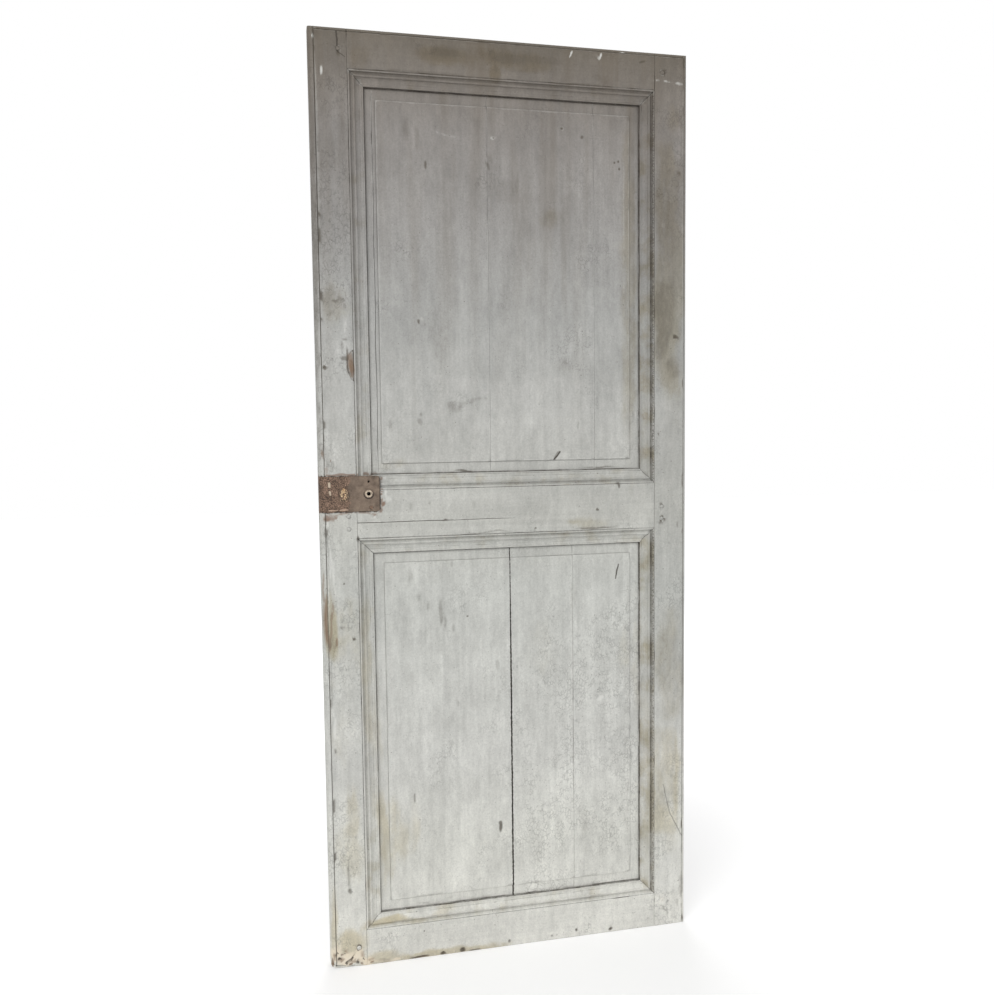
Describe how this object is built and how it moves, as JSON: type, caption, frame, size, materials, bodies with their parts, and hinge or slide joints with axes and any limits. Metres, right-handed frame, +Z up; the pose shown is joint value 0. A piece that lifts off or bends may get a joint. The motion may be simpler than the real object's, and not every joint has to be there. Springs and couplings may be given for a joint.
{
  "type": "two-panel door leaf",
  "caption": "Weathered painted wooden door leaf: pegged stile-and-rail frame, fielded board panels, mitred mouldings and a rusty let-in lock.",
  "frame": {"origin": "centre of the leaf's bottom edge, midway through its thickness", "axes": "+Z up along the stiles, +X towards the hinge edge, -Y out of the front face that carries the lock plate"},
  "size_m": [0.85, 0.0408, 2.05],
  "materials": {
    "painted_frame": "aged grey-white oil paint, chalky, dirty and chipped to bare wood",
    "painted_panel": "aged grey-white oil paint with crackle and dirt",
    "painted_moulding": "aged grey-white oil paint with dirt in the quirks",
    "peg_wood": "painted over, weathered end grain",
    "rusty_iron": "rough brown rust over old paint",
    "spring_steel": "dull rusty spring steel",
    "worn_brass": "tarnished brass, rubbed bright in spots"
  },
  "bodies": {
    "leaf": {"lock_stile": "painted_frame", "hinge_stile": "painted_frame", "top_rail": "painted_frame", "lock_rail": "painted_frame", "bottom_rail": "painted_frame", "upper_board_1": "painted_panel", "upper_board_2": "painted_panel", "upper_board_3": "painted_panel", "lower_board_1": "painted_panel", "lower_board_2": "painted_panel", "lower_board_3": "painted_panel", "upper_mould_bottom": "painted_moulding", "upper_mould_hinge": "painted_moulding", "upper_mould_top": "painted_moulding", "upper_mould_lock": "painted_moulding", "lower_mould_bottom": "painted_moulding", "lower_mould_hinge": "painted_moulding", "lower_mould_top": "painted_moulding", "lower_mould_lock": "painted_moulding", "top_rail_pegs": "peg_wood", "lock_rail_pegs": "peg_wood", "bottom_rail_pegs": "peg_wood", "lock_plate": "rusty_iron", "lock_rim": "rusty_iron", "lock_cover": "rusty_iron", "lock_pillars": "rusty_iron", "lock_screws": "rusty_iron", "upper_mould_pins": "rusty_iron", "lower_mould_pins": "rusty_iron", "bolt_spring": "spring_steel", "latch_spring": "spring_steel", "key_escutcheon": "worn_brass", "key_cover_rivet": "worn_brass"},
    "follower": {"follower": "worn_brass"},
    "latch": {"latch_bolt": "rusty_iron"},
    "dead_bolt": {"dead_bolt": "rusty_iron"},
    "key_cover": {"key_cover": "worn_brass"}
  },
  "joints": [
    {"name": "follower_turn", "type": "hinge", "parent": "leaf", "child": "follower", "pos_m": [-0.318, 0, 1.068], "axis": [0, 1, 0], "range_deg": [0, 45.2]},
    {"name": "latch_slide", "type": "slide", "parent": "leaf", "child": "latch", "axis": [-1, 0, 0], "range_m": [0, 0.01]},
    {"name": "dead_bolt_slide", "type": "slide", "parent": "leaf", "child": "dead_bolt", "axis": [-1, 0, 0], "range_m": [0, 0.014]},
    {"name": "key_cover_swing", "type": "hinge", "parent": "leaf", "child": "key_cover", "pos_m": [-0.372, -0.0215, 1.0775], "axis": [0, 1, 0], "range_deg": [-80, 80]}
  ],
  "couplings": [
    {"joint": "latch_slide", "follows": "follower_turn", "m_per_rad": 0.012676}
  ]
}
